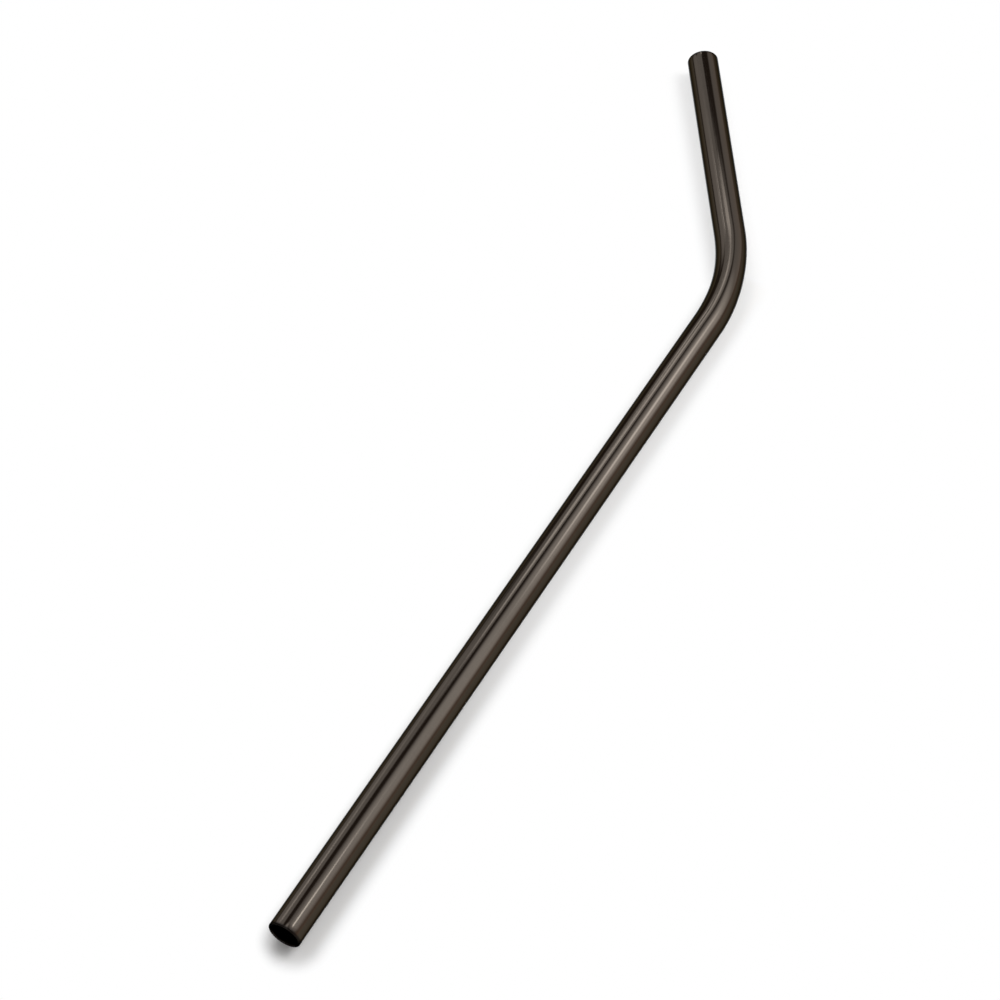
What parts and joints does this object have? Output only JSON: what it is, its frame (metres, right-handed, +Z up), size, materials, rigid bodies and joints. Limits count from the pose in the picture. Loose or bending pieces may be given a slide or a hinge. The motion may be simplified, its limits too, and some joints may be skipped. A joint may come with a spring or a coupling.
{
  "type": "bent stainless steel straw",
  "caption": "Reusable bent drinking straw: a thin-walled steel tube with a dark polished coating, a long straight stem, a gentle bend and a short drinking tip, open at both ends.",
  "frame": {"origin": "middle of the base of the bounding box, on the surface that the straw lies on", "axes": "+X along the stem towards the bend, +Y the way the tip turns away, +Z up; the tube lies flat on its side"},
  "size_m": [0.2074, 0.0374, 0.0062],
  "materials": {
    "coated_steel": "gloss"
  },
  "bodies": {
    "root": {"straw_tube": "coated_steel"}
  },
  "joints": []
}
